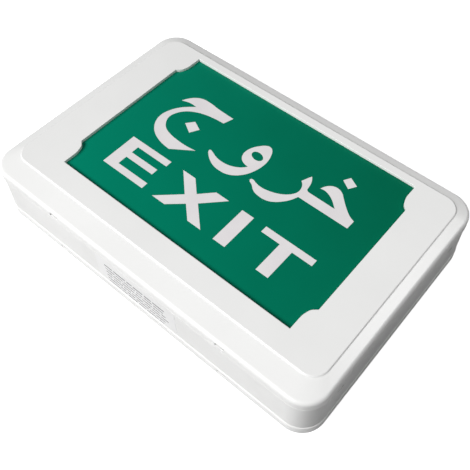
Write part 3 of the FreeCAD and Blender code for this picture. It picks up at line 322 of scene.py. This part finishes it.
LETTERS_KHA_RA = [
    (12.3, 17.0), (10.5, 16.4), (10.3, 14.8), (14.7, 12.0), (20.5, 7.7), (27.4, 6.2), (35.0, 6.8),
    (41.0, 9.9), (46.2, 14.8), (50.2, 20.3), (53.2, 26.9, CORNER), (103.2, 26.9, CORNER),
    (103.4, 36.0, CORNER), (98.0, 38.2), (90.2, 43.9), (83.6, 49.9), (79.6, 53.6), (75.8, 55.5),
    (71.0, 55.7), (66.8, 53.6), (63.8, 50.1), (62.1, 46.2, CORNER), (66.2, 46.7), (71.2, 45.5),
    (76.6, 42.6), (81.0, 39.0), (84.0, 36.3, CORNER), (56.4, 36.5, CORNER), (54.4, 37.9), (53.9, 40.6),
    (52.6, 46.0), (50.8, 49.6), (49.0, 52.0, CORNER), (47.3, 48.6), (46.0, 45.4), (44.8, 42.5, CORNER),
    (47.6, 39.9), (49.5, 36.0), (49.9, 31.4), (48.0, 26.9), (43.6, 22.2), (37.2, 18.4), (29.8, 15.9),
    (22.0, 14.9), (16.4, 15.8)]
DOT_OF_JIM = [(-71.2, 35.0), (-61.5, 30.2), (-66.4, 21.6), (-77.1, 27.9)]
DOT_OF_KHA = [(75.5, 72.4), (84.7, 67.8), (80.4, 60.8), (71.7, 66.0)]


def eye_of_waw():
    """The waw's eye: a small ellipse, tipped a little clockwise."""
    middle_x, middle_y, long_half, short_half, tip, corners = -1.5, 39.5, 6.1, 4.2, math.radians(-12), 12
    places = []
    for step in range(corners):
        turn = -2 * math.pi * step / corners
        along, across = long_half * math.cos(turn), short_half * math.sin(turn)
        places.append((middle_x + along * math.cos(tip) - across * math.sin(tip),
                       middle_y + along * math.sin(tip) + across * math.cos(tip)))
    return places


def printed(name, *outlines):
    """A flat piece of print over the legend film, filled between its outlines."""
    curve = bpy.data.curves.new(name, "CURVE")
    curve.dimensions = "2D"
    curve.fill_mode = "BOTH"
    curve.resolution_u = 8
    curve.extrude = PRINT_THICK / 2
    for outline in outlines:
        spline = curve.splines.new("BEZIER")
        spline.bezier_points.add(len(outline) - 1)
        spline.use_cyclic_u = True
        for point, place in zip(spline.bezier_points, outline):
            point.co = mm(place[0], place[1], 0)
            kind = "VECTOR" if CORNER in place[2:] else "AUTO"
            point.handle_left_type = point.handle_right_type = kind
    item = bpy.data.objects.new(name, curve)
    bpy.context.collection.objects.link(item)
    item.location.z = FILM_TOP + PRINT_THICK / 2
    alone(item)
    bpy.ops.object.convert(target="MESH")
    settle(item)
    bpy.ops.object.mode_set(mode="EDIT")
    bpy.ops.mesh.select_all(action="SELECT")
    bpy.ops.mesh.remove_doubles(threshold=mm(0.005))
    bpy.ops.mesh.normals_make_consistent(inside=False)
    bpy.ops.object.mode_set(mode="OBJECT")
    belongs(item, "housing", CLEAR_PRINT)


printed("legend_letter_e", sharp(block_letter_e(-101.0, -53.6)))
printed("legend_letter_x", sharp(block_letter_x(-41.6, 13.0)))
printed("legend_letter_i", sharp(square_letter_i(26.3, 38.8)))
printed("legend_letter_t", sharp(block_letter_t(51.7, 102.7)))
printed("legend_letter_jim", LETTER_JIM)
printed("legend_letter_waw", LETTER_WAW, eye_of_waw())
printed("legend_letters_kha_ra", LETTERS_KHA_RA)
printed("legend_dot_of_jim", sharp(DOT_OF_JIM))
printed("legend_dot_of_kha", sharp(DOT_OF_KHA))


# ---------------------------------------------------------------- sticker on the lower wall

STICKER_HALF, STICKER_LOW, STICKER_HIGH = mm(44.5), mm(10.9), mm(44.6)
STICKER_THICK, INK_THICK = mm(0.12), mm(0.03)


def wall_sheet(name, left, right, low, high, depth, thick):
    """A thin sheet stuck on the lower wall, with rounded corners."""
    bpy.ops.object.select_all(action="DESELECT")
    bpy.ops.mesh.primitive_cube_add(size=1, location=((left + right) / 2, FOOT_SKIN - depth - thick / 2,
                                                      (low + high) / 2))
    item = bpy.context.object
    item.name = name
    item.scale = (right - left, thick, high - low)
    settle(item)
    bpy.ops.object.mode_set(mode="EDIT")
    mesh = bmesh.from_edit_mesh(item.data)
    for edge in mesh.edges:
        ends = edge.verts[0].co, edge.verts[1].co
        edge.select_set(abs(ends[0].y - ends[1].y) > thick / 2)
    bmesh.update_edit_mesh(item.data)
    bpy.ops.mesh.bevel(offset=min(mm(1.5), (high - low) * 0.45), segments=4, affect="EDGES")
    bpy.ops.object.mode_set(mode="OBJECT")
    return item


sticker = wall_sheet("wall_sticker", -STICKER_HALF, STICKER_HALF, STICKER_LOW, STICKER_HIGH, 0,
                     STICKER_THICK)
belongs(sticker, "housing", VINYL)


def join(name, items):
    """Make one piece of several."""
    alone(items[0])
    for item in items[1:]:
        item.select_set(True)
    bpy.ops.object.join()
    items[0].name = name
    return items[0]


def sticker_rules():
    """Six rows of plain dashes of uneven length, in place of a print."""
    first, apart, left = mm(35.6), mm(4.5), mm(-34.5)
    heading_tall, row_tall = mm(1.5), mm(1.0)
    row_ends = (69, 66, 68, 71, 67, 65)
    dashes = (9, 14, 6, 11, 8, 13, 7)
    gap, indent = 1.3, 0.3
    pieces = []
    for row, row_end in enumerate(row_ends):
        level = first - row * apart
        half = (row_tall if row else heading_tall) / 2
        start = indent * row
        turn = 3 * row
        while start < row_end:
            end = min(start + dashes[turn % len(dashes)], row_end)
            if end - start > gap:
                pieces.append(wall_sheet(f"rule_{row}", left + mm(start), left + mm(end), level - half,
                                         level + half, STICKER_THICK, INK_THICK))
            start = end + gap
            turn += 1
    return join("sticker_rules", pieces)


belongs(sticker_rules(), "housing", GREY_PRINT)


# ---------------------------------------------------------------- floor, light and camera

def floor_finish():
    """A pale floor: white to the camera and in reflections, softer for bounced light."""
    made = bpy.data.materials.new("pale_studio_floor")
    made.use_nodes = True
    tree = made.node_tree
    tree.nodes.clear()
    path = add(tree, "ShaderNodeLightPath")
    seen = add(tree, "ShaderNodeMath", operation="MAXIMUM",
               links={0: path.outputs["Is Camera Ray"], 1: path.outputs["Is Transmission Ray"]})
    paper = add(tree, "ShaderNodeBsdfDiffuse", {"Color": linear("#646464")})
    white = add(tree, "ShaderNodeBsdfDiffuse", {"Color": linear("#FFFFFF")})
    glow = add(tree, "ShaderNodeEmission", {"Color": linear("#FFFFFF"), "Strength": 0.72})
    lifted = add(tree, "ShaderNodeAddShader", links={0: white.outputs[0], 1: glow.outputs[0]})
    mirrored = add(tree, "ShaderNodeMixShader",
                   links={0: path.outputs["Is Glossy Ray"], 1: paper.outputs[0], 2: white.outputs[0]})
    mix = add(tree, "ShaderNodeMixShader",
              links={0: seen.outputs[0], 1: mirrored.outputs[0], 2: lifted.outputs[0]})
    add(tree, "ShaderNodeOutputMaterial", links={"Surface": mix.outputs[0]})
    return made


bpy.ops.object.select_all(action="DESELECT")
bpy.ops.mesh.primitive_plane_add(size=6, location=(0, 0, mm(-0.05)))
floor = bpy.context.object
floor.name = "studio_floor"
floor.data.materials.append(floor_finish())


def studio_world():
    """A white room: bright to the camera, softer in reflections and dim as a light."""
    world = bpy.data.worlds.new("studio")
    world.use_nodes = True
    tree = world.node_tree
    tree.nodes.clear()
    white = {"Color": linear("#FFFFFF")}
    path = add(tree, "ShaderNodeLightPath")
    seen = add(tree, "ShaderNodeMath", operation="MAXIMUM",
               links={0: path.outputs["Is Camera Ray"], 1: path.outputs["Is Transmission Ray"]})
    room = add(tree, "ShaderNodeBackground", {**white, "Strength": 0.05})
    mirrored = add(tree, "ShaderNodeBackground", {**white, "Strength": 0.35})
    backdrop = add(tree, "ShaderNodeBackground", {**white, "Strength": 1.0})
    inside = add(tree, "ShaderNodeMixShader",
                 links={0: path.outputs["Is Glossy Ray"], 1: room.outputs[0], 2: mirrored.outputs[0]})
    mix = add(tree, "ShaderNodeMixShader",
              links={0: seen.outputs[0], 1: inside.outputs[0], 2: backdrop.outputs[0]})
    add(tree, "ShaderNodeOutputWorld", links={"Surface": mix.outputs[0]})
    return world


bpy.context.scene.world = studio_world()


def softbox(name, place, wide, high, power):
    """An area lamp that looks at the middle of the object."""
    lamp = bpy.data.lights.new(name, "AREA")
    lamp.shape = "RECTANGLE"
    lamp.energy, lamp.size, lamp.size_y = power, wide, high
    item = bpy.data.objects.new(name, lamp)
    bpy.context.collection.objects.link(item)
    item.location = place
    item.rotation_euler = (mm(0, 0, 40) - Vector(place)).to_track_quat("-Z", "Y").to_euler()


softbox("key_softbox", (-0.80, -2.08, 1.86), 2.2, 1.2, 100)
softbox("rim_softbox", (0.55, 0.53, 0.95), 0.4, 0.4, 3.4)

camera = bpy.data.cameras.new("camera")
camera.lens, camera.sensor_width = 53.42, 36.0
camera.shift_x, camera.shift_y = -0.0386, -0.0740
camera.clip_start, camera.clip_end = 0.01, 20
eye = bpy.data.objects.new("camera", camera)
bpy.context.collection.objects.link(eye)
right = Vector((0.76919, 0.63895, 0.00903))
down = Vector((0.51288, -0.60886, -0.60518))
forward = Vector((-0.38119, 0.47013, -0.79603))
turn = Matrix((right, -down, -forward)).transposed()
eye.matrix_world = Matrix.Translation(mm(248.3, -273.6, 520.2)) @ turn.to_4x4()
bpy.context.scene.camera = eye
bpy.context.scene.view_settings.view_transform = "Standard"
